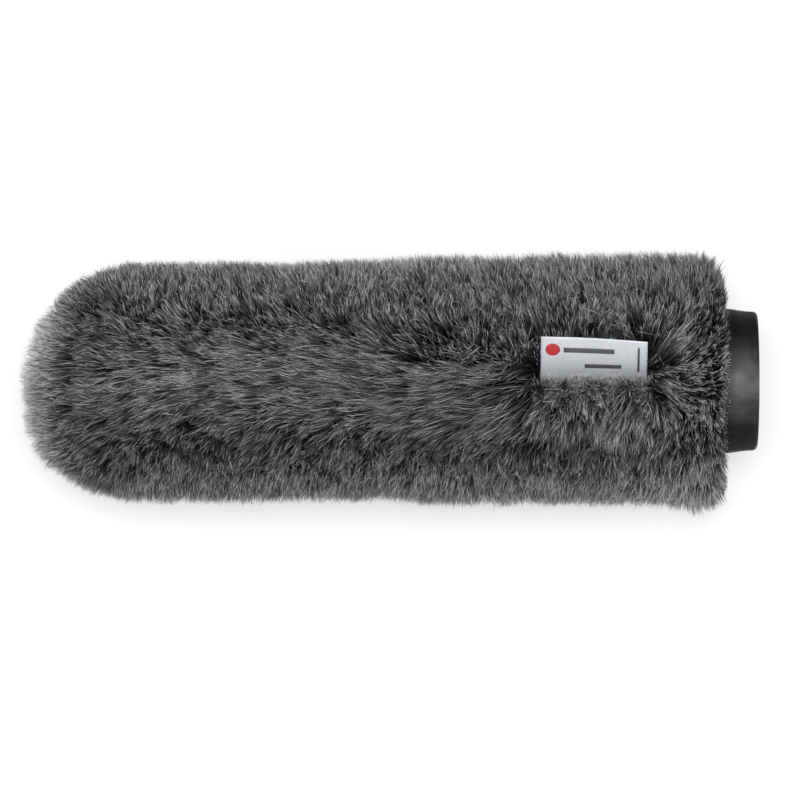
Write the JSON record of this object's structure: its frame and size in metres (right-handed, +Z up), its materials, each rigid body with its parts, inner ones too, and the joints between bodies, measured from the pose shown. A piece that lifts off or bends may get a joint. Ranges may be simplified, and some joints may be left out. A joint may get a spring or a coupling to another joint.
{
  "type": "furry microphone windscreen",
  "caption": "Slip-on furry windscreen for a long microphone: fur sleeve with a domed nose over a foam core on a perforated tube, with a rubber boot that grips the microphone.",
  "frame": {"origin": "centre of the microphone bore's mouth, in the rear plane of the rubber boot", "axes": "+X along the microphone, out of the boot, so the nose points to -X; +Z up through the lengthwise seam and the label; +Y to the side that the label leans to"},
  "size_m": [0.294, 0.101, 0.0945],
  "materials": {
    "fur": "long-pile acrylic fur",
    "knit": "knitted backing",
    "thread": "polyester thread",
    "elastic": "elastic cord",
    "label": "woven satin",
    "boot_rubber": "matte moulded rubber",
    "tube_plastic": "moulded",
    "clamp_steel": "brushed",
    "foam": "open-cell foam"
  },
  "bodies": {
    "windscreen": {"fur_pile_body": "fur", "fur_pile_nose": "fur", "backing_body": "knit", "backing_nose": "knit", "side_seam_stitches": "thread", "nose_seam_stitches": "thread", "hem_elastic": "elastic", "hem_stitches": "thread", "label_tail": "label", "label_stitches": "thread", "boot": "boot_rubber", "mesh_tube": "tube_plastic", "front_cap": "tube_plastic", "tube_clamp": "clamp_steel", "foam_sleeve": "foam", "foam_nose": "foam"},
    "label": {"label_flap": "label"}
  },
  "joints": [
    {"name": "label_lift", "type": "hinge", "parent": "windscreen", "child": "label", "pos_m": [-0.06605, 0, 0.0305], "axis": [1, 0, 0], "range_deg": [0, 40]}
  ]
}
